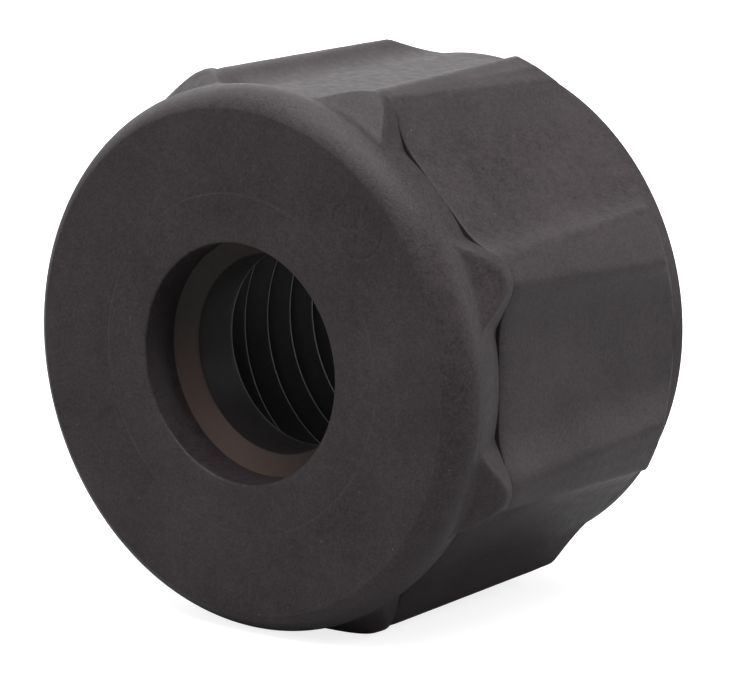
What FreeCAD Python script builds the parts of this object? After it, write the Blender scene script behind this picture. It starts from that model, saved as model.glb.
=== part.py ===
import FreeCAD, Part
import Sketcher
import math
import os

# A hand nut of black moulded plastic: a round front collar with eight pointed lobe ends,
# an eight-lobed grip behind it, and a two-start female thread open to the rear.
# The axis is Y. The front face lies on y = 0 and faces -Y, the thread opens towards +Y.
# Z is up and the nut lies on its side, on two of its lobes. Millimetres and degrees.

SIZES = [
    # whole nut
    ("nut_length", 32.5, "front face to rear face"),
    ("lobe_count", 8, "lobes around the grip"),
    ("lobe_pitch", 45.0, "angle from one lobe to the next"),
    ("half_pitch", 22.5, "angle from the middle of a flute to a lobe"),
    # front collar
    ("step_depth", 7.2, "front face to the seam between collar and grip"),
    ("collar_radius", 22.7, "largest radius of the round collar"),
    ("face_radius", 21.05, "edge of the flat front face"),
    ("edge_length", 2.7, "front face to the largest radius of the collar"),
    ("edge_round", 3.3, "radius of the collar's rounded front edge"),
    ("collar_seam_radius", 21.2, "collar radius at the seam"),
    ("collar_bulge", 9.8, "radius of the collar's curved side"),
    ("beak_crest_radius", 24.2, "axis to the crest of a pointed lobe end"),
    ("beak_foot", 3.4, "front face to the foot of a lobe end's sloped front"),
    ("beak_foot_radius", 22.17, "axis to the foot of the sloped front"),
    ("beak_top", 6.16, "front face to the top of the sloped front"),
    ("beak_root", 19.0, "axis to the inner end of a lobe end, inside the collar"),
    ("beak_width", 10.0, "width of a lobe end at its root"),
    ("flank_reach", 5.2, "middle of a lobe end to the foot of its flank"),
    ("beak_round", 2.6, "rounding of a lobe end's crest"),
    ("entry_radius", 10.0, "entry bore"),
    ("entry_depth", 3.6, "front face to the seat ring"),
    ("rim_break", 0.3, "chamfer on the mouth of the entry bore"),
    ("witness_radius", 14.1, "moulded witness ring on the front face"),
    ("witness_width", 0.2, "width of the witness ring"),
    ("witness_depth", 0.05, "depth of the witness ring"),
    ("mark_centre_radius", 17.9, "nut axis to the centre of the mould mark"),
    ("mark_angle", 47.0, "direction of the mould mark, from +X towards +Z"),
    ("mark_radius", 2.6, "outer radius of the mould mark"),
    ("mark_width", 0.25, "width of the mould mark's line"),
    ("mark_depth", 0.12, "depth of the mould mark"),
    ("mark_dimple_radius", 0.5, "dimple in the middle of the mould mark"),
    # spigot and keys that join collar, grip and thread sleeve
    ("spigot_radius", 16.0, "collar spigot, thread sleeve and the grip bore around them"),
    ("spigot_end", 11.2, "front face to the end of the spigot"),
    ("key_radius", 17.6, "outer radius of the keys"),
    ("key_width", 4.0, "width of a key"),
    ("key_root", 15.2, "axis to the inner end of a key, inside the wall that it stands on"),
    ("dog_end", 10.4, "front face to the end of the collar's short keys"),
    ("snap_depth", 9.0, "front face to the snap bead"),
    ("snap_round", 0.4, "height and half width of the snap bead"),
    ("snap_play", 0.05, "room around the snap bead"),
    # grip sleeve
    ("flat_radius", 21.35, "axis to the flat floor of a flute"),
    ("lobe_front_radius", 24.1, "axis to the crest of a lobe at the seam"),
    ("lobe_rear_radius", 23.5, "axis to the crest of a lobe at the rear end of the flutes"),
    ("flank_angle", 49.2, "angle from a lobe's middle to the direction that its flank faces"),
    ("flank_front", 16.7, "axis to the plane of a flank, at the seam"),
    ("flank_rear", 17.05, "axis to the plane of a flank, at the rear end of the flutes"),
    ("crown_front", 2.4, "rounding between a lobe's top and its flank, at the seam"),
    ("crown_rear", 0.8, "rounding between a lobe's top and its flank, at the rear"),
    ("flute_round", 3.0, "hollow rounding between a flute's floor and a lobe"),
    ("slope_start", 28.3, "front face to the start of the sloped lobe ends"),
    ("slope_end", 31.1, "front face to the end of the sloped lobe ends"),
    ("rim_radius", 21.4, "round rear rim, level with the flutes"),
    ("rim_round", 0.4, "rounding of the rear rim"),
    ("clear_radius", 30.0, "beyond everything that a cut has to reach"),
    ("stop_radius", 15.0, "rear stop lip that holds the thread sleeve"),
    ("stop_start", 31.5, "front face to the stop lip"),
    # seat ring
    ("seat_outer_radius", 12.4, "seat ring and its pocket in the collar"),
    ("seat_mouth_radius", 10.1, "wide end of the conical seat"),
    ("seat_cone_end", 4.9, "front face to the narrow end of the conical seat"),
    ("neck_radius", 8.35, "neck bore"),
    ("seat_end", 9.3, "front face to the rear face of the seat ring"),
    ("seat_corner", 0.4, "chamfer on the seat ring's outer corners"),
    # sealing washer
    ("washer_inner_radius", 10.2, "hole of the sealing washer"),
    ("washer_outer_radius", 12.3, "sealing washer"),
    ("washer_end", 11.1, "front face to the rear face of the washer"),
    # thread sleeve
    ("thread_minor_radius", 11.875, "crests of the thread"),
    ("thread_major_radius", 13.5, "roots of the thread"),
    ("thread_pitch", 3.0, "crest to crest"),
    ("thread_lead", 6.0, "travel in one turn, with two starts"),
    ("thread_starts", 2, "starts of the thread"),
    ("groove_mouth", 2.25, "width of a thread groove at the crests"),
    ("groove_floor", 0.38, "width of a thread groove at the roots"),
    ("thread_start", 4.57, "front face to the middle of the first groove, at +X"),
    ("sleeve_end", 32.2, "front face to the rear face of the thread sleeve"),
    ("mouth_radius", 14.0, "plain bore at the mouth of the thread"),
    ("mouth_start", 30.7, "front face to the plain bore"),
]


class Size:
    """A number together with the spreadsheet expression that gives it."""

    def __init__(self, value, text):
        self.value = value
        self.text = text

    def join(self, other, sign, value):
        return Size(value, "(%s %s %s)" % (self.text, sign, other.text))

    def __add__(self, other):
        return self.join(other, "+", self.value + other.value)

    def __sub__(self, other):
        return self.join(other, "-", self.value - other.value)

    def __mul__(self, factor):
        return Size(self.value * factor, "%s * %s" % (self.text, factor))

    def __neg__(self):
        return Size(-self.value, "-%s" % self.text)


ZERO = Size(0.0, "0")

doc = FreeCAD.newDocument("hand_nut")
sheet = doc.addObject("Spreadsheet::Sheet", "Sizes")
for row, (alias, number, meaning) in enumerate(SIZES, start=1):
    sheet.set("A%d" % row, meaning)
    sheet.set("B%d" % row, str(number))
    sheet.setAlias("B%d" % row, alias)
doc.recompute()


def size(alias):
    return Size(float(sheet.get(alias)), "Sizes." + alias)


def new_body(label):
    body = doc.addObject("PartDesign::Body", label)
    body.Label = label
    return body


def origin_feature(body, role):
    for feature in body.Origin.OriginFeatures:
        if feature.Role == role:
            return feature
    raise ValueError("no origin feature " + role)


def new_sketch(body, name, plane="XY_Plane", depth=None, turn=None):
    """A sketch on an origin plane, turned about the nut's axis if a turn is given.
    On XZ_Plane, depth is the distance behind the front face."""
    sketch = body.newObject("Sketcher::SketchObject", name)
    sketch.AttachmentSupport = [(origin_feature(body, plane), "")]
    sketch.MapMode = "FlatFace"
    if depth is not None:
        sketch.setExpression("AttachmentOffset.Base.z", (-depth).text)
    if turn is not None:
        nut_axis = FreeCAD.Vector(0, 0, 1) if plane == "XZ_Plane" else FreeCAD.Vector(0, 1, 0)
        sketch.AttachmentOffset = FreeCAD.Placement(
            FreeCAD.Vector(0, 0, 0), FreeCAD.Rotation(nut_axis, turn.value))
        sketch.setExpression("AttachmentOffset.Rotation.Angle", turn.text)
    return sketch


def bind(sketch, kind, references, wanted, name):
    """Add a dimension and bind it to the spreadsheet."""
    index = sketch.addConstraint(Sketcher.Constraint(kind, *references, wanted.value))
    sketch.renameConstraint(index, name)
    sketch.setExpression("Constraints." + name, wanted.text)


def place_point(sketch, edge, end, x, y, name):
    """Hold one end of an edge at (x, y) from the sketch's origin."""
    if x.value == 0.0:
        sketch.addConstraint(Sketcher.Constraint("PointOnObject", edge, end, -2))
    else:
        bind(sketch, "DistanceX", (-1, 1, edge, end), x, name + "_x")
    if y.value == 0.0:
        sketch.addConstraint(Sketcher.Constraint("PointOnObject", edge, end, -1))
    else:
        bind(sketch, "DistanceY", (-1, 1, edge, end), y, name + "_y")


def arc_through(start, end, radius, clockwise):
    """An arc from start to end, its centre on the side that clockwise gives."""
    chord = end - start
    half = chord.Length / 2
    normal = FreeCAD.Vector(-chord.y, chord.x, 0).normalize()
    reach = math.sqrt(max(radius ** 2 - half ** 2, 0.0))
    centre = (start + end) * 0.5 + normal * (-reach if clockwise else reach)
    circle = Part.Circle(centre, FreeCAD.Vector(0, 0, 1), radius)
    first = math.atan2(start.y - centre.y, start.x - centre.x)
    last = math.atan2(end.y - centre.y, end.x - centre.x)
    if clockwise:
        first, last = last, first
    return Part.ArcOfCircle(circle, first, last)


def outline(sketch, corners, arcs=()):
    """A closed outline through corners. arcs maps a corner's number to the (radius, clockwise)
    of the arc that leaves it; every other edge is straight."""
    arcs = dict(arcs)
    points = [FreeCAD.Vector(x.value, y.value, 0) for x, y in corners]
    count = len(points)
    starts = []
    ends = []
    for number in range(count):
        here = points[number]
        there = points[(number + 1) % count]
        if number in arcs:
            radius, clockwise = arcs[number]
            sketch.addGeometry(arc_through(here, there, radius.value, clockwise))
            starts.append(2 if clockwise else 1)
            ends.append(1 if clockwise else 2)
        else:
            sketch.addGeometry(Part.LineSegment(here, there))
            starts.append(1)
            ends.append(2)
    for number in range(count):
        following = (number + 1) % count
        sketch.addConstraint(Sketcher.Constraint(
            "Coincident", number, ends[number], following, starts[following]))
    for number, (x, y) in enumerate(corners):
        place_point(sketch, number, starts[number], x, y, "corner%d" % number)
    for number, (radius, clockwise) in arcs.items():
        bind(sketch, "Radius", (number,), radius, "arc%d" % number)


def revolve(body, kind, sketch, name):
    """Turn a sketch on the XY plane a full turn about the nut's axis."""
    feature = body.newObject("PartDesign::" + kind, name)
    feature.Profile = sketch
    feature.ReferenceAxis = (sketch, ["V_Axis"])
    feature.Angle = 360.0
    return feature


def extrude(body, kind, sketch, name, length, rearwards=True):
    """Pad or pocket a sketch on an XZ plane, whose normal points to the front."""
    feature = body.newObject("PartDesign::" + kind, name)
    feature.Profile = sketch
    feature.setExpression("Length", length.text)
    feature.Reversed = rearwards if kind == "Pad" else not rearwards
    return feature


def around(body, feature, name):
    """Repeat a feature evenly around the nut's axis, once for each lobe."""
    pattern = body.newObject("PartDesign::PolarPattern", name)
    pattern.Originals = [feature]
    pattern.Axis = (origin_feature(body, "Y_Axis"), [""])
    pattern.Angle = 360.0
    pattern.setExpression("Occurrences", size("lobe_count").text)
    body.Tip = pattern
    return pattern


def key_sketch(body, name, depth):
    """The cross-section of one key, under a lobe, rooted inside the spigot's wall."""
    sketch = new_sketch(body, name, "XZ_Plane", depth, turn=size("half_pitch"))
    half = size("key_width") * 0.5
    outline(sketch, [
        (size("key_root"), -half),
        (size("key_radius"), -half),
        (size("key_radius"), half),
        (size("key_root"), half),
    ])
    return sketch


def circle_in(sketch, radius, name, x=ZERO, y=ZERO):
    edge = sketch.addGeometry(Part.Circle(
        FreeCAD.Vector(x.value, y.value, 0), FreeCAD.Vector(0, 0, 1), radius.value))
    bind(sketch, "Radius", (edge,), radius, name)
    place_point(sketch, edge, 3, x, y, name)
    return edge


def make_front_collar():
    """Round front collar: face, eight pointed lobe ends, curved side, entry bore and spigot."""
    body = new_body("front_collar")
    core = new_sketch(body, "core_section")
    outline(core, [
        (size("entry_radius") + size("rim_break"), ZERO),
        (size("face_radius"), ZERO),
        (size("face_radius"), size("step_depth")),
        (size("spigot_radius"), size("step_depth")),
        (size("spigot_radius"), size("spigot_end")),
        (size("seat_outer_radius"), size("spigot_end")),
        (size("seat_outer_radius"), size("entry_depth")),
        (size("entry_radius"), size("entry_depth")),
        (size("entry_radius"), size("rim_break")),
    ])
    revolve(body, "Revolution", core, "core")
    doc.recompute()
    add_beaks(body)
    side = new_sketch(body, "side_section")
    outline(side, [
        (size("face_radius"), ZERO),
        (size("collar_radius"), size("edge_length")),
        (size("collar_seam_radius"), size("step_depth")),
        (size("face_radius"), size("step_depth")),
    ], {0: (size("edge_round"), False), 1: (size("collar_bulge"), False)})
    revolve(body, "Revolution", side, "curved_side")
    doc.recompute()
    bead = new_sketch(body, "snap_section")
    outline(bead, snap_corners(ZERO))
    revolve(body, "Revolution", bead, "snap_bead")
    dog = extrude(body, "Pad", key_sketch(body, "dog_section", size("step_depth")), "dog",
                  size("dog_end") - size("step_depth"))
    around(body, dog, "dogs")
    doc.recompute()
    add_face_marks(body)
    return body


def add_beaks(body):
    """Eight pointed lobe ends on the collar's core. Each is a block with a sloped front end,
    cut on both sides to the section of a lobe: two straight flanks and a rounded crest."""
    profile = new_sketch(body, "beak_profile", turn=size("half_pitch"))
    outline(profile, [
        (size("beak_root"), size("beak_foot")),
        (size("beak_foot_radius"), size("beak_foot")),
        (size("beak_crest_radius"), size("beak_top")),
        (size("beak_crest_radius"), size("step_depth")),
        (size("beak_root"), size("step_depth")),
    ])
    block = body.newObject("PartDesign::Pad", "beak_block")
    block.Profile = profile
    block.setExpression("Length", size("beak_width").text)
    block.Midplane = True
    doc.recompute()
    around(body, block, "beak_blocks")
    doc.recompute()
    angle = math.radians(sheet.get("flank_angle"))
    crest_round = size("beak_round")
    crown_x = size("beak_crest_radius") - crest_round + crest_round * math.cos(angle)
    crown_y = crest_round * math.sin(angle)
    reach = size("flank_reach")
    foot_x = crown_x - (reach - crown_y) * math.tan(angle)
    flanks = new_sketch(body, "beak_flanks_section", "XZ_Plane", size("beak_foot"),
                        turn=size("half_pitch"))
    outline(flanks, [
        (foot_x, -reach),
        (crown_x, -crown_y),
        (crown_x, crown_y),
        (foot_x, reach),
        (size("clear_radius"), reach),
        (size("clear_radius"), -reach),
    ], {1: (crest_round, False)})
    cut = extrude(body, "Pocket", flanks, "beak_flanks", size("step_depth") - size("beak_foot"))
    doc.recompute()
    around(body, cut, "beak_flank_cuts")
    doc.recompute()


def snap_corners(play):
    """A low triangular bead on the spigot, with play all round."""
    root = size("spigot_radius") - size("snap_round")
    return [
        (root, size("snap_depth") - size("snap_round") * 2 - play),
        (size("spigot_radius") + size("snap_round") + play, size("snap_depth")),
        (root, size("snap_depth") + size("snap_round") * 2 + play),
    ]


def add_face_marks(body):
    """A fine witness ring, and a plain round mould mark with a dimple in its middle."""
    witness = new_sketch(body, "witness_section")
    inner = size("witness_radius") - size("witness_width") * 0.5
    outer = size("witness_radius") + size("witness_width") * 0.5
    outline(witness, [
        (inner, -size("witness_depth")),
        (outer, -size("witness_depth")),
        (outer, size("witness_depth")),
        (inner, size("witness_depth")),
    ])
    revolve(body, "Groove", witness, "witness_ring")
    doc.recompute()
    mark = new_sketch(body, "mark_section", "XZ_Plane", turn=size("mark_angle"))
    centre = size("mark_centre_radius")
    circle_in(mark, size("mark_radius"), "mark_outer", centre)
    circle_in(mark, size("mark_radius") - size("mark_width"), "mark_inner", centre)
    circle_in(mark, size("mark_dimple_radius"), "mark_dimple", centre)
    extrude(body, "Pocket", mark, "mould_mark", size("mark_depth"))
    doc.recompute()


def flute_sketch(body, name, depth, crest, crown, flank_distance):
    """The opening between two lobes, centred on +X and closed outside the nut: a flat floor, and
    on each side a hollow rounding, a straight flank and the rounding up to the lobe's top."""
    sketch = new_sketch(body, name, "XZ_Plane", depth)
    floor = size("flat_radius")
    hollow = size("flute_round")
    facing = math.radians(sheet.get("half_pitch") - sheet.get("flank_angle"))
    normal = FreeCAD.Vector(math.cos(facing), math.sin(facing), 0)
    crown_reach = crest.value - crown.value
    crown_turn = facing + math.acos((flank_distance.value - crown.value) / crown_reach)
    along = FreeCAD.Vector(math.cos(crown_turn), math.sin(crown_turn), 0)
    top = along * crest.value
    flank_top = along * crown_reach + normal * crown.value
    hollow_x = floor.value + hollow.value
    hollow_y = (flank_distance.value + hollow.value - hollow_x * normal.x) / normal.y
    flank_foot = FreeCAD.Vector(hollow_x, hollow_y, 0) - normal * hollow.value
    start = FreeCAD.Vector(floor.value, hollow_y, 0)
    outside = along * sheet.get("clear_radius")

    def mirrored(point):
        return FreeCAD.Vector(point.x, -point.y, 0)

    def line(first, last):
        return sketch.addGeometry(Part.LineSegment(first, last))

    def arc(first, last, radius, clockwise):
        return sketch.addGeometry(arc_through(first, last, radius.value, clockwise))

    floor_line = line(mirrored(start), start)
    hollow_up = arc(start, flank_foot, hollow, True)
    flank_up = line(flank_foot, flank_top)
    crown_up = arc(flank_top, top, crown, False)
    side_up = line(top, outside)
    cap = line(outside, mirrored(outside))
    side_down = line(mirrored(outside), mirrored(top))
    crown_down = arc(mirrored(top), mirrored(flank_top), crown, False)
    flank_down = line(mirrored(flank_top), mirrored(flank_foot))
    hollow_down = arc(mirrored(flank_foot), mirrored(start), hollow, True)

    join = Sketcher.Constraint
    sketch.addConstraint([
        join("Tangent", floor_line, 2, hollow_up, 2),
        join("Tangent", hollow_up, 1, flank_up, 1),
        join("Tangent", flank_up, 2, crown_up, 1),
        join("Coincident", crown_up, 2, side_up, 1),
        join("Coincident", side_up, 2, cap, 1),
        join("Coincident", cap, 2, side_down, 1),
        join("Coincident", side_down, 2, crown_down, 1),
        join("Tangent", crown_down, 2, flank_down, 1),
        join("Tangent", flank_down, 2, hollow_down, 2),
        join("Tangent", hollow_down, 1, floor_line, 1),
        join("Symmetric", floor_line, 1, floor_line, 2, -1),
        join("Symmetric", cap, 1, cap, 2, -1),
        join("Symmetric", side_up, 1, side_down, 2, -1),
        join("Symmetric", flank_up, 2, flank_down, 1, -1),
        join("Equal", hollow_up, hollow_down),
        join("PointOnObject", crown_up, 3, side_up),
        join("PointOnObject", -1, 1, side_up),
    ])
    bind(sketch, "DistanceX", (-1, 1, floor_line, 2), floor, "floor")
    bind(sketch, "Radius", (hollow_up,), hollow, "hollow")
    bind(sketch, "Radius", (crown_up,), crown, "crown")
    bind(sketch, "Distance", (-1, 1, crown_up, 2), crest, "crest")
    bind(sketch, "Distance", (-1, 1, side_up, 2), size("clear_radius"), "outside")
    bind(sketch, "Distance", (-1, 1, flank_up), flank_distance, "flank_distance")
    index = sketch.addConstraint(join("Angle", flank_up, math.pi / 2 + facing))
    sketch.renameConstraint(index, "flank_turn")
    sketch.setExpression("Constraints.flank_turn", "90 + Sizes.half_pitch - Sizes.flank_angle")
    return sketch


def make_grip_sleeve():
    """Eight-lobed grip: tapering lobes, sloped rear ends, round rim, keyed bore and stop lip."""
    body = new_body("grip_sleeve")
    blank = new_sketch(body, "blank_section")
    outline(blank, [
        (size("spigot_radius"), size("step_depth")),
        (size("lobe_front_radius"), size("step_depth")),
        (size("lobe_rear_radius"), size("slope_start")),
        (size("rim_radius"), size("slope_end")),
        (size("rim_radius"), size("nut_length") - size("rim_round")),
        (size("rim_radius") - size("rim_round"), size("nut_length")),
        (size("stop_radius"), size("nut_length")),
        (size("stop_radius"), size("stop_start")),
        (size("spigot_radius"), size("stop_start")),
    ], {4: (size("rim_round"), False)})
    revolve(body, "Revolution", blank, "blank")
    doc.recompute()
    front = flute_sketch(body, "flute_front", size("step_depth"), size("lobe_front_radius"),
                         size("crown_front"), size("flank_front"))
    rear = flute_sketch(body, "flute_rear", size("slope_start"), size("lobe_rear_radius"),
                        size("crown_rear"), size("flank_rear"))
    flute = body.newObject("PartDesign::SubtractiveLoft", "flute")
    flute.Profile = front
    flute.Sections = [rear]
    flute.Ruled = True
    doc.recompute()
    around(body, flute, "flutes")
    doc.recompute()
    end_sketch = flute_sketch(body, "flute_end", size("slope_start"), size("lobe_rear_radius"),
                              size("crown_rear"), size("flank_rear"))
    flute_end = extrude(body, "Pocket", end_sketch, "flute_tail",
                        size("slope_end") - size("slope_start"))
    doc.recompute()
    around(body, flute_end, "flute_tails")
    doc.recompute()
    slot = extrude(body, "Pocket", key_sketch(body, "slot_section", size("step_depth")), "key_slot",
                   size("stop_start") - size("step_depth"))
    doc.recompute()
    around(body, slot, "key_slots")
    groove = new_sketch(body, "snap_groove_section")
    outline(groove, snap_corners(size("snap_play")))
    revolve(body, "Groove", groove, "snap_groove")
    doc.recompute()
    return body


def make_seat_ring():
    """Ring behind the entry bore: a cone facing the front, then the neck bore."""
    body = new_body("seat_ring")
    section = new_sketch(body, "seat_section")
    outline(section, [
        (size("seat_mouth_radius"), size("entry_depth")),
        (size("seat_outer_radius"), size("entry_depth")),
        (size("seat_outer_radius"), size("seat_end") - size("seat_corner")),
        (size("seat_outer_radius") - size("seat_corner"), size("seat_end")),
        (size("neck_radius"), size("seat_end")),
        (size("neck_radius"), size("seat_cone_end")),
    ])
    revolve(body, "Revolution", section, "seat")
    return body


def make_sealing_washer():
    """Flat rubber washer that waits between the seat ring and the first turn of the thread."""
    body = new_body("sealing_washer")
    section = new_sketch(body, "washer_section")
    outline(section, [
        (size("washer_inner_radius"), size("seat_end")),
        (size("washer_outer_radius"), size("seat_end")),
        (size("washer_outer_radius"), size("washer_end")),
        (size("washer_inner_radius"), size("washer_end")),
    ])
    revolve(body, "Revolution", section, "washer")
    return body


def helix_turn(lead, radius, turn):
    """One turn of a right-hand helix about Z, so many turns up."""
    edge = Part.makeHelix(lead, lead, radius).Edges[0]
    edge.translate(FreeCAD.Vector(0, 0, turn * lead))
    return edge


def make_thread_groove(start):
    """One start of the thread as a solid: a tapered groove, longer than the sleeve at both ends."""
    lead = sheet.get("thread_lead")
    minor = sheet.get("thread_minor_radius")
    major = sheet.get("thread_major_radius")
    mouth = sheet.get("groove_mouth") / 2
    floor = sheet.get("groove_floor") / 2
    length = sheet.get("sleeve_end") - sheet.get("thread_start")
    inside = 2 * minor - major
    flare = 2 * mouth - floor
    corners = [
        FreeCAD.Vector(inside, 0, -flare),
        FreeCAD.Vector(major, 0, -floor),
        FreeCAD.Vector(major, 0, floor),
        FreeCAD.Vector(inside, 0, flare),
    ]
    profile = Part.makePolygon(corners + corners[:1])
    path = Part.Wire([helix_turn(lead, minor, turn) for turn in range(math.ceil(length / lead))])
    groove = doc.addObject("Part::Feature", "thread_groove_%d" % start)
    groove.Shape = path.makePipeShell([profile], True, True)
    depth = sheet.get("thread_start") + start * sheet.get("thread_pitch")
    groove.Placement = FreeCAD.Placement(
        FreeCAD.Vector(0, depth, 0), FreeCAD.Rotation(FreeCAD.Vector(1, 0, 0), -90))
    return groove


def make_thread_sleeve():
    """Keyed sleeve with a right-hand, two-start female thread, open at both ends."""
    body = new_body("sleeve_blank")
    section = new_sketch(body, "sleeve_section")
    lead_in = size("mouth_radius") - size("thread_minor_radius")
    outline(section, [
        (size("thread_minor_radius"), size("spigot_end")),
        (size("spigot_radius"), size("spigot_end")),
        (size("spigot_radius"), size("stop_start")),
        (size("stop_radius"), size("stop_start")),
        (size("stop_radius"), size("sleeve_end")),
        (size("mouth_radius"), size("sleeve_end")),
        (size("mouth_radius"), size("mouth_start")),
        (size("thread_minor_radius"), size("mouth_start") - lead_in),
    ])
    revolve(body, "Revolution", section, "tube")
    doc.recompute()
    threaded = body
    for start in range(int(sheet.get("thread_starts"))):
        cut = doc.addObject("Part::Cut", "thread_cut_%d" % start)
        cut.Base = threaded
        cut.Tool = make_thread_groove(start)
        cut.Refine = False
        doc.recompute()
        threaded = cut
    sleeve = doc.addObject("Part::MultiFuse", "thread_sleeve")
    sleeve.Label = "thread_sleeve"
    keys = [make_sleeve_key(number) for number in range(int(sheet.get("lobe_count")))]
    sleeve.Shapes = [threaded] + keys
    doc.recompute()
    return sleeve


def make_sleeve_key(number):
    """One key of the thread sleeve, under a lobe, rooted inside the sleeve's wall."""
    key = doc.addObject("Part::Box", "sleeve_key_%d" % number)
    key.setExpression("Length", (size("key_radius") - size("key_root")).text)
    key.setExpression("Width", (size("stop_start") - size("spigot_end")).text)
    key.setExpression("Height", size("key_width").text)
    turn = FreeCAD.Rotation(FreeCAD.Vector(0, -1, 0),
                            sheet.get("half_pitch") + number * sheet.get("lobe_pitch"))
    corner = FreeCAD.Vector(sheet.get("key_root"), sheet.get("spigot_end"), -sheet.get("key_width") / 2)
    key.Placement = FreeCAD.Placement(turn.multVec(corner), turn)
    return key


BUILDERS = [make_front_collar, make_seat_ring, make_sealing_washer, make_thread_sleeve, make_grip_sleeve]


def check_document(bodies):
    """Stop before writing anything if an object failed or a sub-part isn't a valid solid."""
    for item in doc.Objects:
        if "Invalid" in item.State or "Error" in item.State:
            raise RuntimeError("%s failed: %s" % (item.Name, item.State))
    for body in bodies:
        shape = body.Shape
        if shape.isNull() or not shape.isValid() or shape.Volume <= 0:
            raise RuntimeError("%s has no valid shape" % body.Label)
        print("%-16s %2d solid(s) %10.1f mm3" % (body.Label, len(shape.Solids), shape.Volume))
        print("                 %s" % shape.BoundBox)


def main():
    bodies = [build() for build in BUILDERS]
    doc.recompute()
    check_document(bodies)
    os.makedirs("parts", exist_ok=True)
    for body in bodies:
        body.Shape.exportStep("parts/%s.step" % body.Label)


main()
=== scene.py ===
import math

import bpy
import numpy as np
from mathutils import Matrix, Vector


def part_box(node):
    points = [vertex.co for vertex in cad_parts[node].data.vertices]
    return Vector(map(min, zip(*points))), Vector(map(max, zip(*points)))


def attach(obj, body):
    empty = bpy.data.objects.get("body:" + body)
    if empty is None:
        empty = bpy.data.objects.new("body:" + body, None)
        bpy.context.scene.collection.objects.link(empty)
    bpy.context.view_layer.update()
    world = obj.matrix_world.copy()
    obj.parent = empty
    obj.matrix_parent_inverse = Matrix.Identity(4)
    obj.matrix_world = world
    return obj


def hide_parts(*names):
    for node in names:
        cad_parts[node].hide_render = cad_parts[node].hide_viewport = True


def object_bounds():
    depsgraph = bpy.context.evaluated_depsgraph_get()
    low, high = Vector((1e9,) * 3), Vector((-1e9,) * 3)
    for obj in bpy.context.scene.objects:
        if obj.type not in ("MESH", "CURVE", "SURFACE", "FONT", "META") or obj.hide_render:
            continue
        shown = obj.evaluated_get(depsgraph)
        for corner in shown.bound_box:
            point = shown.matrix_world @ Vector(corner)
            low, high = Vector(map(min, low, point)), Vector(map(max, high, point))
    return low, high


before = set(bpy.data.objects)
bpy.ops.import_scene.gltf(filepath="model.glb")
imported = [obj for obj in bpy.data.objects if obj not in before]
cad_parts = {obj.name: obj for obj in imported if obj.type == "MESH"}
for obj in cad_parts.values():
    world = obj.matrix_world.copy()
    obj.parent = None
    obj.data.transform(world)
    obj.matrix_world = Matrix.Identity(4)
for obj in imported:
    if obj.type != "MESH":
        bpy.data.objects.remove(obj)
cad_low, cad_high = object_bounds()

# Lengths are in millimetres and angles in degrees until a mesh is made. The nut's axis is +Y,
# its front face lies on y = 0, and a point at angle a and radius r is (r cos a, y, r sin a).
# Each piece is a detailed form of one CAD node, and replaces it.

MM = 0.001
FULL_TURN = 360.0
LOBES = 8
LOBE_PITCH = FULL_TURN / LOBES
FIRST_LOBE = LOBE_PITCH / 2

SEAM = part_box("grip_sleeve")[0].y / MM
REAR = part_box("grip_sleeve")[1].y / MM
SEAT_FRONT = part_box("seat_ring")[0].y / MM
SEAT_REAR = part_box("seat_ring")[1].y / MM
SEAT_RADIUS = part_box("seat_ring")[1].x / MM
WASHER_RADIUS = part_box("sealing_washer")[1].x / MM
WASHER_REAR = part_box("sealing_washer")[1].y / MM
SPIGOT_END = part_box("front_collar")[1].y / MM
SLEEVE_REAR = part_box("thread_sleeve")[1].y / MM


# ---------------------------------------------------------------- shape helpers

SHARP_ANGLE = 40.0
RING_COLUMNS = 288


def smooth_max(a, b, width):
    """The larger of a and b, with a rounded change from one to the other."""
    share = np.clip(0.5 + 0.5 * (a - b) / width, 0.0, 1.0)
    return b + (a - b) * share + width * share * (1.0 - share)


def smooth_min(a, b, width):
    """The smaller of a and b, with a rounded change from one to the other."""
    return -smooth_max(-a, -b, width)


def off_lobe(angle):
    """Signed angle from the nearest lobe's middle, in radians."""
    turned = np.mod(angle - FIRST_LOBE + LOBE_PITCH / 2, LOBE_PITCH) - LOBE_PITCH / 2
    return np.radians(turned)


def rounded(corners):
    """A closed outline of (y, r) points. Each corner is (y, r, rounding)."""
    steps = 6
    points = []
    count = len(corners)
    for number in range(count):
        here = Vector(corners[number][:2])
        before = Vector(corners[number - 1][:2])
        after = Vector(corners[(number + 1) % count][:2])
        radius = corners[number][2]
        if radius == 0:
            points.append(tuple(here))
            continue
        back = (before - here).normalized()
        ahead = (after - here).normalized()
        half = back.angle(ahead) / 2
        cut = radius / math.tan(half)
        centre = here + (back + ahead).normalized() * (radius / math.sin(half))
        first = here + back * cut - centre
        last = here + ahead * cut - centre
        turn = first.angle(last)
        for step in range(steps + 1):
            share = step / steps
            from_first = first * math.sin((1 - share) * turn)
            from_last = last * math.sin(share * turn)
            points.append(tuple(centre + (from_first + from_last) / math.sin(turn)))
    return points


def resampled(points, longest):
    """The closed outline with straight runs divided, so that no edge is longer than longest."""
    dense = []
    for number, here in enumerate(points):
        there = points[(number + 1) % len(points)]
        gap = math.dist(here, there)
        parts = max(1, math.ceil(gap / longest))
        for part in range(parts):
            share = part / parts
            y = here[0] + (there[0] - here[0]) * share
            r = here[1] + (there[1] - here[1]) * share
            dense.append((y, r))
    return dense


def make_object(name, vertices, faces, sharp):
    """A smooth-shaded piece whose edges stay sharp above an angle."""
    mesh = bpy.data.meshes.new(name)
    mesh.from_pydata([tuple(v) for v in vertices], [], faces)
    mesh.validate()
    mesh.update()
    mesh.shade_smooth()
    mesh.set_sharp_from_angle(angle=math.radians(sharp))
    made = bpy.data.objects.new(name, mesh)
    bpy.context.scene.collection.objects.link(made)
    return made


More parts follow.
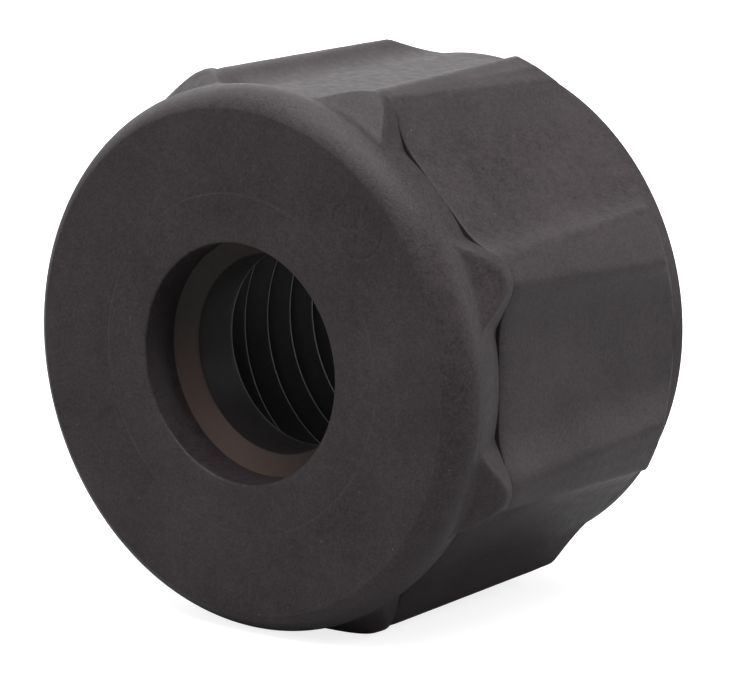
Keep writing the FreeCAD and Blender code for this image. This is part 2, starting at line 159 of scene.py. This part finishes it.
def turned_mesh(name, depth, radius, angles):
    """A closed ring. depth and radius hold one row for each outline point and one column for
    each angle. With y to the right and r upwards, the outline runs clockwise."""
    rows, columns = radius.shape
    a = np.radians(angles)[None, :]
    cloud = np.stack([radius * np.cos(a), depth, radius * np.sin(a)], axis=-1)
    faces = []
    for row in range(rows):
        below = row * columns
        above = (row + 1) % rows * columns
        for column in range(columns):
            after = (column + 1) % columns
            faces.append((below + column, above + column, above + after, below + after))
    return make_object(name, cloud.reshape(-1, 3) * MM, faces, SHARP_ANGLE)


def spun(outline, columns):
    """Depth and radius arrays for turned_mesh: the same outline at every column."""
    depth = np.array([p[0] for p in outline])[:, None].repeat(columns, axis=1)
    radius = np.array([p[1] for p in outline])[:, None].repeat(columns, axis=1)
    return depth, radius


def turned_outline(name, outline):
    """A plain turned ring from one outline."""
    angles = np.arange(RING_COLUMNS) * FULL_TURN / RING_COLUMNS
    depth, radius = spun(outline, RING_COLUMNS)
    return turned_mesh(name, depth, radius, angles)


def dense_angles(step, marks):
    """Angles all round, step apart, and closer together at marks of (middle, half width, step)."""
    half_turn = FULL_TURN / 2
    angles = list(np.arange(0.0, FULL_TURN, step))
    for middle, half, fine in marks:
        away = [abs((angle - middle + half_turn) % FULL_TURN - half_turn) for angle in angles]
        angles = [angle for angle, gap in zip(angles, away) if gap > half]
        offsets = np.arange(-half, half + fine / 2, fine)
        angles += [(middle + offset) % FULL_TURN for offset in offsets]
    return np.array(sorted(angles))


# ---------------------------------------------------------------- front collar

FLANK_SLOPE = 1.16

COLLAR_RADIUS = 22.7
FACE_RADIUS = 21.05
EDGE_LENGTH = 2.7
EDGE_ROUND = 3.3
SIDE_BULGE = 9.8
SEAM_RADIUS = 21.2
GAP_RADIUS = 20.8
GAP_START = SEAM - 0.12
ENTRY_RADIUS = 10.0
RIM_BREAK = 0.24
SPIGOT_RADIUS = 16.0

BEAK_START = 0.6
BEAK_CREST = 24.25
BEAK_FOOT_DEPTH = 3.4
BEAK_FOOT_RADIUS = 22.17
BEAK_SLOPE = 0.735
BEAK_APEX = 25.45
BEAK_FLARE = 1.35
CUT_START = 6.0
CUT_FULL = 8.5

SINK_DEPTH = 0.03
SINK_WIDTH = 10.0
WITNESS_RADIUS = 14.1
WITNESS_DEPTH = 0.02
WITNESS_WIDTH = 0.13
MARK_RADIUS = 17.9
MARK_ANGLE = 46.0
MARK_SIZE = 2.6
MARK_LEAN = 38.0
MARK_RING_DEPTH = 0.07
MARK_RING_WIDTH = 0.13
MARK_DISC_DEPTH = 0.02
SLOT_DEPTH = 0.07
SLOT_WIDTH = 0.14
SLOT_REACH = 1.5
DIMPLE_DEPTH = 0.09
DIMPLE_RADIUS = 0.45
TICK_DEPTH = 0.03
TICK_PITCH = 30.0
TICK_REACH = 2.0


def lobe_outline(off, crest, apex, rounding):
    """Radius of a lobe at an angle off its middle: a round top between two straight flanks.
    apex is where the flanks would meet."""
    flank = apex / (np.cos(off) + FLANK_SLOPE * np.abs(np.sin(off)))
    return smooth_min(crest, flank, rounding)


def arc_through(first, last, bulge, depth):
    """Radius at a depth on a convex arc that joins two (y, r) points and has the radius bulge."""
    chord = Vector(last) - Vector(first)
    inward = Vector((chord.y, -chord.x)).normalized()
    reach = math.sqrt(bulge ** 2 - (chord.length / 2) ** 2)
    centre = Vector(first) + chord / 2 + inward * reach
    return centre.y + np.sqrt(bulge ** 2 - (depth - centre.x) ** 2)


def collar_edge(depth):
    """Radius of the collar's rounded front edge."""
    return arc_through((0.0, FACE_RADIUS), (EDGE_LENGTH, COLLAR_RADIUS), EDGE_ROUND, depth)


def collar_side(depth):
    """Radius of the collar's curved side, between its rounded front edge and the seam."""
    return arc_through((EDGE_LENGTH, COLLAR_RADIUS), (SEAM, SEAM_RADIUS), SIDE_BULGE, depth)


def beak(depth, off):
    """The lobe's front end: a slope that faces forward and outward, between flanks that spread
    towards its foot."""
    forward = (SEAM - depth) / (SEAM - BEAK_FOOT_DEPTH)
    ridge = lobe_outline(off, BEAK_CREST, BEAK_APEX + BEAK_FLARE * forward, 1.0)
    hip = (BEAK_FOOT_RADIUS + BEAK_SLOPE * (depth - BEAK_FOOT_DEPTH)) / np.cos(off)
    return smooth_min(ridge, hip, 0.35)


def face_relief(radius, angle):
    """How far the front face lies behind y = 0: witness ring, round mark and slight sink."""
    witness = WITNESS_DEPTH * np.exp(-((radius - WITNESS_RADIUS) / WITNESS_WIDTH) ** 2)
    across_sink = np.clip((radius - ENTRY_RADIUS) / SINK_WIDTH, 0, 1)
    relief = witness + SINK_DEPTH * (0.5 - 0.5 * np.cos(2 * np.pi * across_sink))
    turn = np.radians(angle - MARK_ANGLE)
    out = radius * np.cos(turn) - MARK_RADIUS
    side = radius * np.sin(turn)
    reach = np.hypot(out, side)
    off_ring = reach - (MARK_SIZE - MARK_RING_WIDTH)
    ring = MARK_RING_DEPTH * np.exp(-(off_ring / MARK_RING_WIDTH) ** 2)
    disc = MARK_DISC_DEPTH / (1.0 + np.exp((reach - MARK_SIZE + 0.2) / 0.05))
    lean = math.radians(MARK_LEAN)
    along = out * math.cos(lean) + side * math.sin(lean)
    across = -out * math.sin(lean) + side * math.cos(lean)
    slot = SLOT_DEPTH * np.exp(-(across / SLOT_WIDTH) ** 4)
    slot = slot / (1.0 + np.exp((np.abs(along) - SLOT_REACH) / 0.06))
    dimple = DIMPLE_DEPTH * np.exp(-(reach / DIMPLE_RADIUS) ** 4)
    off_tick = np.degrees(np.arctan2(side, out)) % TICK_PITCH - TICK_PITCH / 2
    long_fade = ((reach - TICK_REACH) / 0.16) ** 4
    side_fade = (np.radians(off_tick) * reach / 0.10) ** 4
    tick = TICK_DEPTH * np.exp(-long_fade - side_fade)
    mark = np.maximum.reduce([ring, disc + slot, disc + dimple, disc + tick])
    return relief + np.where(reach < MARK_SIZE + 0.4, mark, 0.0)


def make_front_collar():
    """Collar with the face, the bore, the lobes' front ends and the spigot behind them. Rows
    and columns are closer together where the witness ring and the mark are."""
    angles = dense_angles(0.75, [(MARK_ANGLE, 9.6, 0.24)])
    bore = [(y, ENTRY_RADIUS) for y in np.linspace(SEAT_FRONT, RIM_BREAK, 8)]
    rim = [(RIM_BREAK - RIM_BREAK * math.sin(t), ENTRY_RADIUS + RIM_BREAK - RIM_BREAK * math.cos(t))
           for t in np.linspace(0.0, math.pi / 2, 7)[1:]]
    near = list(np.linspace(10.8, 13.7, 9))
    ring = list(np.linspace(13.76, 14.44, 12))
    band = list(np.arange(14.6, FACE_RADIUS - 0.05, 0.10))
    face = [(0.0, r) for r in near + ring + band + [FACE_RADIUS]]
    edge = [(y, collar_edge(y)) for y in EDGE_LENGTH * np.linspace(0.02, 1.0, 22) ** 1.4]
    side = [(y, 0.0) for y in np.linspace(EDGE_LENGTH, GAP_START, 50)[1:]]
    side += [(y, 0.0) for y in np.linspace(GAP_START + 0.02, SEAM, 5)]
    hidden = [(SEAM, 19.5), (SEAM, SPIGOT_RADIUS + 0.1), (SEAM + 0.1, SPIGOT_RADIUS),
              (SPIGOT_END - 0.2, SPIGOT_RADIUS), (SPIGOT_END, SPIGOT_RADIUS - 0.2),
              (SPIGOT_END, SEAT_RADIUS), (SEAT_FRONT, SEAT_RADIUS)]
    depth, radius = spun(bore + rim + face + edge + side + hidden, len(angles))
    face_start = len(bore + rim)
    edge_start = face_start + len(face)
    side_start = edge_start + len(edge)
    side_end = side_start + len(side)
    on_face = slice(face_start, edge_start)
    on_side = slice(side_start, side_end)
    depth[on_face] = face_relief(radius[on_face], angles[None, :])
    radius[on_side] = collar_side(depth[on_side])
    shaped = slice(edge_start, side_end)
    off = off_lobe(angles)[None, :]
    in_gap = depth[shaped] > GAP_START
    base = np.where(in_gap, GAP_RADIUS, radius[shaped])
    lifted = smooth_max(base, beak(depth[shaped], off), 0.4)
    cut = np.clip((np.degrees(np.abs(off)) - CUT_START) / (CUT_FULL - CUT_START), 0.0, 1.0)
    lifted = np.where(in_gap, lifted + (base - lifted) * cut, lifted)
    radius[shaped] = np.where(depth[shaped] > BEAK_START, lifted, base)
    return turned_mesh("front_collar_shell", depth, radius, angles)


# ---------------------------------------------------------------- grip sleeve

FLAT_RADIUS = 21.35
FRONT_CREST = 24.1
REAR_CREST = 23.5
FRONT_APEX = 25.58
REAR_APEX = 26.1
SLOPE_START = 28.3
SLOPE_END = 31.1
RIM_RADIUS = 21.4
RIM_ROUND = 0.4
RIM_ROWS = [31.5, 31.8]
STOP_RADIUS = 15.0
STOP_START = 31.5
FRONT_ROLL = 0.22
FRONT_ROLL_LENGTH = 1.7
EJECTOR_ANGLES = (0.0, 90.0, 180.0, 270.0)
EJECTOR_PLACE = 18.2
EJECTOR_RADIUS = 1.5
EJECTOR_DEPTH = 0.10
REAR_RING_RADIUS = 16.1
REAR_RING_DEPTH = 0.05


def grip_radius(depth, off):
    """Radius of the grip's outside: flat flutes, flat-topped lobes that taper and widen to the
    rear and end in a slope, and a round rim that is level with the flutes."""
    share = np.clip((depth - SEAM) / (SLOPE_START - SEAM), 0.0, 1.0)
    crest = FRONT_CREST + (REAR_CREST - FRONT_CREST) * share
    apex = FRONT_APEX + (REAR_APEX - FRONT_APEX) * share
    lobe = lobe_outline(off, crest, apex, 1.0 - 0.7 * share)
    from_flute = np.radians(LOBE_PITCH / 2) - np.abs(off)
    flat = FLAT_RADIUS / np.cos(from_flute)
    body = smooth_max(flat, lobe, 0.9)
    fall = (REAR_CREST - RIM_RADIUS) / (SLOPE_END - SLOPE_START)
    slope = REAR_CREST - (depth - SLOPE_START) * fall
    body = smooth_min(body, np.maximum(slope, RIM_RADIUS), 0.18)
    into = np.clip((depth - SEAM) / FRONT_ROLL_LENGTH, 0.0, 1.0)
    body = body - FRONT_ROLL * (1.0 - np.sqrt(1.0 - (1.0 - into) ** 2))
    band = np.clip((depth - SLOPE_END + 0.4) / 0.6, 0.0, 1.0)
    return body + (RIM_RADIUS - body) * band * band * (3.0 - 2.0 * band)


def rear_relief(radius, angle):
    """How far the rear face lies in front of its plane: round ejector marks and a fine ring."""
    relief = np.zeros(np.broadcast(radius, angle).shape)
    for middle in EJECTOR_ANGLES:
        turn = np.radians(angle - middle)
        reach = np.hypot(radius * np.cos(turn) - EJECTOR_PLACE, radius * np.sin(turn))
        mark = EJECTOR_DEPTH / (1.0 + np.exp((reach - EJECTOR_RADIUS) / 0.05))
        relief = np.maximum(relief, mark)
    return relief + REAR_RING_DEPTH * np.exp(-((radius - REAR_RING_RADIUS) / 0.12) ** 2)


def make_grip_sleeve():
    """Grip with the lobes and flutes, the rear face and the stop lip."""
    angles = dense_angles(0.75, [(middle, 6.0, 0.3) for middle in EJECTOR_ANGLES])
    front = [(SEAM, r) for r in (SPIGOT_RADIUS, 18.5, 20.5)]
    depths = list(SEAM + FRONT_ROLL_LENGTH * (1 - np.cos(np.linspace(0, math.pi / 2, 14))))
    depths += list(np.arange(SEAM + FRONT_ROLL_LENGTH + 0.5, SLOPE_START - 1.0, 0.8))
    depths += list(np.linspace(SLOPE_START - 0.9, SLOPE_END - 0.44, 30))
    depths += list(np.linspace(SLOPE_END - 0.4, SLOPE_END + 0.2, 9)) + RIM_ROWS
    side = [(y, 0.0) for y in depths]
    rim_depth = REAR - RIM_ROUND
    rim_middle = RIM_RADIUS - RIM_ROUND
    rim = [(rim_depth + RIM_ROUND * math.sin(t), rim_middle + RIM_ROUND * math.cos(t))
           for t in np.linspace(0.0, math.pi / 2, 8)]
    face = [(REAR, r) for r in np.arange(20.4, STOP_RADIUS + 0.45, -0.12)]
    mouth = [(REAR, STOP_RADIUS + 0.4), (REAR - 0.12, STOP_RADIUS + 0.12), (REAR - 0.4, STOP_RADIUS),
             (STOP_START, STOP_RADIUS), (STOP_START, SPIGOT_RADIUS)]
    depth, radius = spun(front + side + rim + face + mouth, len(angles))
    side_start = len(front)
    side_end = side_start + len(side)
    face_start = side_end + len(rim)
    on_side = slice(side_start, side_end)
    on_face = slice(face_start, face_start + len(face))
    radius[on_side] = grip_radius(depth[on_side], off_lobe(angles)[None, :])
    depth[on_face] = REAR - rear_relief(radius[on_face], angles[None, :])
    return turned_mesh("grip_sleeve_shell", depth, radius, angles)


# ---------------------------------------------------------------- seat ring, washer, thread

NECK_RADIUS = 8.35
SEAT_MOUTH = 10.1
SEAT_CONE_END = 4.9
SEAT_CHAMFER = 0.4
WASHER_WIDTH = 2.1
WASHER_ROUND = 0.3
THREAD_MINOR = 11.875
THREAD_MAJOR = 13.5
THREAD_PITCH = 3.0
THREAD_LEAD = 6.0
THREAD_START = 4.57
THREAD_COLUMNS = 240
THREAD_SHARP_ANGLE = 30.0
GROOVE_MOUTH = 2.82
GROOVE_FLOOR = 0.38
MOUTH_RADIUS = 14.0
MOUTH_START = 30.7
SLEEVE_STEP_RADIUS = 15.0


def make_seat_ring():
    """Ring with the conical seat in front and the narrow neck bore behind it."""
    outline = rounded([
        (SEAT_FRONT, SEAT_RADIUS, 0.0),
        (SEAT_REAR - SEAT_CHAMFER, SEAT_RADIUS, 0.0),
        (SEAT_REAR, SEAT_RADIUS - SEAT_CHAMFER, 0.0),
        (SEAT_REAR, NECK_RADIUS, 0.22),
        (SEAT_CONE_END, NECK_RADIUS, 0.25),
        (SEAT_FRONT, SEAT_MOUTH, 0.1),
    ])
    return turned_outline("seat_ring_turned", resampled(outline, 0.5))


def make_sealing_washer():
    """Flat washer with rounded corners."""
    inner = WASHER_RADIUS - WASHER_WIDTH
    outline = rounded([
        (SEAT_REAR, inner, WASHER_ROUND),
        (SEAT_REAR, WASHER_RADIUS, WASHER_ROUND),
        (WASHER_REAR, WASHER_RADIUS, WASHER_ROUND),
        (WASHER_REAR, inner, WASHER_ROUND),
    ])
    return turned_outline("sealing_washer_moulded", resampled(outline, 0.4))


def thread_radius(position):
    """Radius of the female thread, at a distance along the axis from a groove's middle."""
    away = np.abs(np.mod(position + THREAD_PITCH / 2, THREAD_PITCH) - THREAD_PITCH / 2)
    share = (GROOVE_MOUTH / 2 - away) / (GROOVE_MOUTH / 2 - GROOVE_FLOOR / 2)
    cut = smooth_max(np.clip(share, -0.2, 1.0), 0.0, 0.06)
    return THREAD_MINOR + (THREAD_MAJOR - THREAD_MINOR) * cut


def make_thread_sleeve():
    """Sleeve with a right-hand thread. Rows follow the helix, so crests and roots stay sharp.
    Rows past an end lie on that end."""
    columns = THREAD_COLUMNS
    half = [GROOVE_FLOOR / 2, 0.5, 0.85, 1.15, 1.3, 1.37, GROOVE_MOUTH / 2, 1.45]
    breaks = [0.0] + half + [THREAD_PITCH / 2] + [THREAD_PITCH - b for b in reversed(half)]
    starts = round(THREAD_LEAD / THREAD_PITCH)
    per_lead = len(breaks) * starts
    front = SPIGOT_END
    first_turn = math.ceil((front - THREAD_START) / THREAD_PITCH) - 1
    last_turn = 12 + starts
    base = np.array([THREAD_START + THREAD_PITCH * turn + b
                     for turn in range(first_turn, last_turn) for b in breaks])
    cone_start = MOUTH_START - (MOUTH_RADIUS - THREAD_MINOR)
    angles = np.arange(columns + 1) * FULL_TURN / columns
    climb = -THREAD_LEAD * angles[None, :] / FULL_TURN
    raw = base[:, None] + climb
    depth = np.clip(raw, front, SLEEVE_REAR)
    radius = thread_radius(raw - THREAD_START - climb)
    clipped = thread_radius(depth - THREAD_START - climb)
    radius = np.where(raw == depth, radius, clipped)
    mouth = np.clip(THREAD_MINOR + depth - cone_start, THREAD_MINOR, MOUTH_RADIUS)
    radius = np.maximum(radius, mouth)
    outer = [(SLEEVE_REAR, SLEEVE_STEP_RADIUS), (STOP_START, SLEEVE_STEP_RADIUS),
             (STOP_START, SPIGOT_RADIUS), (front, SPIGOT_RADIUS)]
    rows = len(base)
    a = np.radians(angles)
    points = []
    index = {}

    def vertex(row, column):
        """Number of the vertex at a row and column. Vertices in one place share a number."""
        if row < rows:
            y, r = depth[row, column], radius[row, column]
        else:
            y, r = outer[row - rows]
        key = (round(y, 4), round(r, 4), column % columns)
        if key not in index:
            index[key] = len(points)
            points.append((r * math.cos(a[column]) * MM, y * MM, r * math.sin(a[column]) * MM))
        return index[key]

    def beside(row, column):
        """The vertex one column on. Past the last column the helix has fallen by one lead."""
        if column < columns - 1:
            return vertex(row, column + 1)
        if row < rows:
            return vertex(max(row - per_lead, 0), 0)
        return vertex(row, 0)

    faces = []
    total = rows + len(outer)
    for column in range(columns):
        for row in range(total):
            after = (row + 1) % total
            near = [vertex(row, column), vertex(after, column)]
            far = [beside(row, column), beside(after, column)]
            loop = []
            for corner in (near[0], far[0], far[1], near[1]):
                if corner not in loop:
                    loop.append(corner)
            if len(loop) > 2:
                faces.append(tuple(loop))
    return make_object("thread_sleeve_turned", points, faces, THREAD_SHARP_ANGLE)


# ---------------------------------------------------------------- materials

DARK = (0.0080, 0.0060, 0.0068, 1.0)
LIGHT = (0.0290, 0.0230, 0.0244, 1.0)
PALE = (0.036, 0.031, 0.031, 1.0)
DUST = (0.30, 0.28, 0.26, 1.0)
# Painted shade: a darker colour for the entry bore's wall.
ENTRY_WALL_SHADE = (0.0075, 0.0062, 0.0066, 1.0)
CONE_DARK = (0.0170, 0.0138, 0.0136, 1.0)
CONE_LIGHT = (0.0250, 0.0202, 0.0196, 1.0)
# Painted warm highlight, low on the cone.
CONE_HIGHLIGHT = (0.052, 0.034, 0.028, 1.0)
# Painted shade for the neck bore.
NECK_SHADE = (0.0140, 0.0120, 0.0126, 1.0)
# Painted highlight for the lip at the neck's end.
LIP_HIGHLIGHT = (0.075, 0.072, 0.074, 1.0)
THREAD_DARK = (0.034, 0.0337, 0.0346, 1.0)
THREAD_LIGHT = (0.046, 0.0457, 0.0466, 1.0)
RUBBER_DARK = (0.012, 0.012, 0.012, 1.0)
RUBBER_LIGHT = (0.03, 0.029, 0.028, 1.0)
WHITE = (1.0, 1.0, 1.0, 1.0)

PLASTIC_IOR = 1.5
PLASTIC_SPECULAR = 0.15
SEAT_SPECULAR = 0.06


class Shader:
    """Small helper to build a node material around one Principled shader."""

    def __init__(self, name):
        self.material = bpy.data.materials.new(name)
        self.material.use_nodes = True
        self.tree = self.material.node_tree
        self.tree.nodes.clear()
        output = self.tree.nodes.new("ShaderNodeOutputMaterial")
        self.surface = self.tree.nodes.new("ShaderNodeBsdfPrincipled")
        self.link(self.surface.outputs[0], output.inputs[0])
        self.place = self.tree.nodes.new("ShaderNodeTexCoord").outputs["Object"]

    def link(self, source, target):
        self.tree.links.new(source, target)

    def drive(self, socket, source):
        """Link a source to one of the surface's inputs."""
        self.link(source, self.surface.inputs[socket])

    def fix(self, socket, value):
        """Set one of the surface's inputs to a value that is the same all over."""
        self.surface.inputs[socket].default_value = value

    def node(self, kind, inputs=None, **settings):
        made = self.tree.nodes.new(kind)
        for key, value in settings.items():
            setattr(made, key, value)
        for key, value in (inputs or {}).items():
            if isinstance(value, bpy.types.NodeSocket):
                self.link(value, made.inputs[key])
            else:
                made.inputs[key].default_value = value
        return made

    def noise(self, per_mm, detail=3.0, roughness=0.55):
        return self.node("ShaderNodeTexNoise", {
            "Vector": self.place, "Scale": per_mm / MM, "Detail": detail, "Roughness": roughness,
        }).outputs["Fac"]

    def math(self, operation, a, b=0.0):
        return self.node("ShaderNodeMath", {0: a, 1: b}, operation=operation).outputs[0]

    def times(self, a, b):
        return self.math("MULTIPLY", a, b)

    def plus(self, a, b):
        return self.math("ADD", a, b)

    def spread(self, value, low, high, to_low=0.0, to_high=1.0):
        """The value with low..high mapped to to_low..to_high, and held at both ends."""
        return self.node("ShaderNodeMapRange", {
            "Value": value, "From Min": low, "From Max": high, "To Min": to_low, "To Max": to_high,
        }).outputs["Result"]

    def mix(self, share, a, b):
        inputs = {0: share, 6: a, 7: b}
        return self.node("ShaderNodeMix", inputs, data_type="RGBA").outputs[2]

    def bump(self, height, distance):
        made = self.node("ShaderNodeBump", {"Height": height, "Distance": distance})
        self.drive("Normal", made.outputs[0])

    def along_axis(self):
        """How far a point lies behind the front face."""
        return self.node("ShaderNodeSeparateXYZ", {"Vector": self.place}).outputs["Y"]

    def diagonal(self):
        """How far a point lies towards -X and -Z."""
        return self.node("ShaderNodeVectorMath", {0: self.place, 1: (-0.6, 0.0, -0.8)},
                         operation="DOT_PRODUCT").outputs["Value"]

    def off_axis(self):
        """Distance from the nut's axis."""
        flat = self.node("ShaderNodeVectorMath", {0: self.place, 1: (1.0, 0.0, 1.0)},
                         operation="MULTIPLY").outputs[0]
        return self.node("ShaderNodeVectorMath", {0: flat}, operation="LENGTH").outputs["Value"]


def moulded_plastic(name, dark, light, rough, grain):
    """Moulded black plastic: fine spark-eroded grain, cloudy and speckled colour, and dust.
    Returns the shader, its colour and its grain height in millimetres. A piece may add to the
    last two, and hands them to finished."""
    shader = Shader(name)
    clouds = shader.noise(0.11, 4.0, 0.6)
    mottle = shader.noise(1.3)
    fine = shader.noise(5.5, 3.0, 0.6)
    coarse = shader.noise(2.4, 2.0, 0.5)
    pepper = shader.noise(4.0, 3.0, 0.75)
    tone = shader.plus(shader.times(clouds, 0.30), shader.times(mottle, 0.20))
    tone = shader.plus(tone, shader.times(pepper, 0.50))
    colour = shader.mix(shader.spread(tone, 0.37, 0.63), dark, light)
    cells = shader.node("ShaderNodeTexVoronoi", {"Vector": shader.place, "Scale": 0.42 / MM})
    dust = shader.spread(cells.outputs["Distance"], 0.018, 0.04, 1.0, 0.0)
    colour = shader.mix(shader.times(dust, 0.14), colour, DUST)
    shader.drive("Roughness", shader.spread(mottle, 0.3, 0.7, rough - 0.06, rough + 0.06))
    shader.fix("IOR", PLASTIC_IOR)
    shader.fix("Specular IOR Level", PLASTIC_SPECULAR)
    height = shader.plus(shader.times(fine, 0.5), shader.times(coarse, 0.5))
    return shader, colour, shader.times(height, grain)


def finished(shader, colour, height):
    """Wire a colour and a bump height in millimetres to the surface. Returns the material."""
    shader.drive("Base Color", colour)
    shader.bump(height, MM)
    return shader.material


def collar_plastic():
    """Smooth flat face with a pale witness ring, coarser grain on the rounded edge and the side,
    and painted shade that darkens the entry bore's wall."""
    shader, colour, height = moulded_plastic("collar_plastic", DARK, LIGHT, 0.5, 0.016)
    radius = shader.off_axis()
    rough_skin = shader.spread(radius, FACE_RADIUS * MM, (FACE_RADIUS + 0.15) * MM)
    grit = shader.times(shader.noise(6.5, 2.0, 0.6), 0.022)
    height = shader.plus(height, shader.times(grit, rough_skin))
    spots = shader.times(shader.spread(shader.noise(4.5, 3.0, 0.7), 0.45, 0.7), 0.25)
    colour = shader.mix(shader.times(spots, rough_skin), colour, PALE)
    off_ring = shader.math("ABSOLUTE", shader.math("SUBTRACT", radius, WITNESS_RADIUS * MM))
    on_ring = shader.spread(off_ring, 0.03 * MM, 0.10 * MM, 1.0, 0.0)
    patchy = shader.spread(shader.noise(0.16, 2.0), 0.42, 0.62, 0.05, 0.5)
    colour = shader.mix(shader.times(on_ring, patchy), colour, PALE)
    wall_start = (ENTRY_RADIUS + 0.1) * MM
    wall_full = (ENTRY_RADIUS + 0.02) * MM
    # Painted shade: the entry bore's wall is darkened in colour.
    bore_shade = shader.spread(radius, wall_full, wall_start, 0.25, 0.0)
    colour = shader.mix(bore_shade, colour, ENTRY_WALL_SHADE)
    return finished(shader, colour, height)


def grip_plastic():
    """Grip with paler, rubbed spots."""
    shader, colour, height = moulded_plastic("grip_plastic", DARK, LIGHT, 0.52, 0.013)
    spots = shader.times(shader.spread(shader.noise(1.6, 4.0, 0.75), 0.48, 0.75), 0.22)
    return finished(shader, shader.mix(spots, colour, PALE), height)


def seat_plastic():
    """Brown cone with a painted warm highlight low on one side, painted shade in the neck bore
    behind it, and a painted highlight on the lip where the neck ends."""
    shader, colour, height = moulded_plastic("seat_plastic", CONE_DARK, CONE_LIGHT, 0.42, 0.006)
    depth = shader.along_axis()
    # Painted highlight: a warm, lighter patch on the cone towards -X and -Z.
    cone_highlight = shader.times(shader.spread(shader.diagonal(), 4.0 * MM, 9.2 * MM), 0.65)
    colour = shader.mix(cone_highlight, colour, CONE_HIGHLIGHT)
    # Painted shade: the neck bore is darkened in colour.
    neck_shade = shader.spread(depth, (SEAT_CONE_END - 0.1) * MM, (SEAT_CONE_END + 0.1) * MM)
    colour = shader.mix(neck_shade, colour, NECK_SHADE)
    # Painted highlight: a pale line on the lip where the neck ends.
    lip_highlight = shader.spread(depth, (SEAT_REAR - 0.34) * MM, (SEAT_REAR - 0.22) * MM, 0.0, 0.8)
    colour = shader.mix(lip_highlight, colour, LIP_HIGHLIGHT)
    shader.fix("Specular IOR Level", SEAT_SPECULAR)
    return finished(shader, colour, height)


def thread_plastic():
    """Sleeve of the same plastic, greyer and smoother."""
    return finished(*moulded_plastic("thread_plastic", THREAD_DARK, THREAD_LIGHT, 0.45, 0.003))


def washer_rubber():
    """Dull black rubber with a fine grain."""
    shader = Shader("washer_rubber")
    grain = shader.noise(3.0)
    shader.drive("Base Color", shader.mix(grain, RUBBER_DARK, RUBBER_LIGHT))
    shader.drive("Roughness", shader.spread(grain, 0.3, 0.7, 0.6, 0.8))
    shader.bump(grain, 0.02 * MM)
    return shader.material


# ---------------------------------------------------------------- assembly

for piece, node, slot, material in [
    (make_front_collar(), "front_collar", "collar_plastic", collar_plastic()),
    (make_grip_sleeve(), "grip_sleeve", "grip_plastic", grip_plastic()),
    (make_seat_ring(), "seat_ring", "seat_plastic", seat_plastic()),
    (make_sealing_washer(), "sealing_washer", "washer_rubber", washer_rubber()),
    (make_thread_sleeve(), "thread_sleeve", "thread_plastic", thread_plastic()),
]:
    piece.data.materials.append(material)
    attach(piece, "root")
    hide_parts(node)


# ---------------------------------------------------------------- stage, light, camera

# Places, sizes and lengths are in metres here, and powers in watts.

FLOOR_HALF = 1.5
FLOOR_GAP = 0.00002
FLOOR_DARK = (0.40, 0.40, 0.40, 1.0)
FLOOR_LIGHT = (0.43, 0.43, 0.43, 1.0)
FLOOR_LIFT = 0.8
WORLD_LIGHT = 0.46
WORLD_SEEN = 1.0

CAMERA_PLACE = (0.272035, -0.323138, 0.09666)
CAMERA_AHEAD = (-0.6102, 0.7617, -0.2182)
CAMERA_LENS = 263.0


def facing(direction):
    """Rotation that points a light or the camera along a direction."""
    return direction.to_track_quat("-Z", "Y").to_euler()


def make_floor(height):
    """Pale paper floor. The camera sees it brighter than it lights the nut."""
    mesh = bpy.data.meshes.new("floor")
    corners = [(-FLOOR_HALF, -FLOOR_HALF, height), (FLOOR_HALF, -FLOOR_HALF, height),
               (FLOOR_HALF, FLOOR_HALF, height), (-FLOOR_HALF, FLOOR_HALF, height)]
    mesh.from_pydata(corners, [], [(0, 1, 2, 3)])
    floor = bpy.data.objects.new("floor", mesh)
    bpy.context.scene.collection.objects.link(floor)
    shader = Shader("floor_paper")
    shader.drive("Base Color", shader.mix(shader.noise(0.4, 2.0), FLOOR_DARK, FLOOR_LIGHT))
    shader.fix("Roughness", 0.9)
    shader.fix("Specular IOR Level", 0.1)
    shader.fix("Emission Color", WHITE)
    to_camera = shader.node("ShaderNodeLightPath").outputs["Is Camera Ray"]
    shader.drive("Emission Strength", shader.times(to_camera, FLOOR_LIFT))
    mesh.materials.append(shader.material)


def softbox(name, place, side, power):
    """Square area light aimed at the nut's middle."""
    data = bpy.data.lights.new(name, "AREA")
    data.shape = "RECTANGLE"
    data.size = side
    data.size_y = side
    data.energy = power
    light = bpy.data.objects.new(name, data)
    light.location = place
    light.rotation_euler = facing((cad_low + cad_high) / 2 - light.location)
    bpy.context.scene.collection.objects.link(light)


def make_world():
    """White surroundings that the camera sees brighter than they light the nut."""
    world = bpy.data.worlds.new("studio")
    world.use_nodes = True
    bpy.context.scene.world = world
    nodes = world.node_tree.nodes
    links = world.node_tree.links
    nodes.clear()
    either = nodes.new("ShaderNodeMixShader")
    for socket, strength in [(1, WORLD_LIGHT), (2, WORLD_SEEN)]:
        background = nodes.new("ShaderNodeBackground")
        background.inputs["Color"].default_value = WHITE
        background.inputs["Strength"].default_value = strength
        links.new(background.outputs[0], either.inputs[socket])
    path = nodes.new("ShaderNodeLightPath")
    output = nodes.new("ShaderNodeOutputWorld")
    links.new(path.outputs["Is Camera Ray"], either.inputs[0])
    links.new(either.outputs[0], output.inputs[0])


make_floor(cad_low.z - FLOOR_GAP)
softbox("top_softbox", (0.10, -0.06, 0.58), 0.6, 9.0)
softbox("back_softbox", (-0.50, 0.30, 0.50), 0.9, 5.0)
softbox("front_fill", (-0.30, -0.80, 0.35), 0.6, 3.0)
softbox("right_softbox", (0.55, 0.55, 0.29), 0.6, 3.6)
make_world()

camera_data = bpy.data.cameras.new("camera")
camera_data.sensor_width = 36.0
camera_data.lens = CAMERA_LENS
camera_data.clip_start = 0.05
camera_data.clip_end = 5.0
camera = bpy.data.objects.new("camera", camera_data)
camera.location = CAMERA_PLACE
camera.rotation_euler = facing(Vector(CAMERA_AHEAD))
bpy.context.scene.collection.objects.link(camera)
bpy.context.scene.camera = camera
bpy.context.scene.view_settings.view_transform = "Standard"
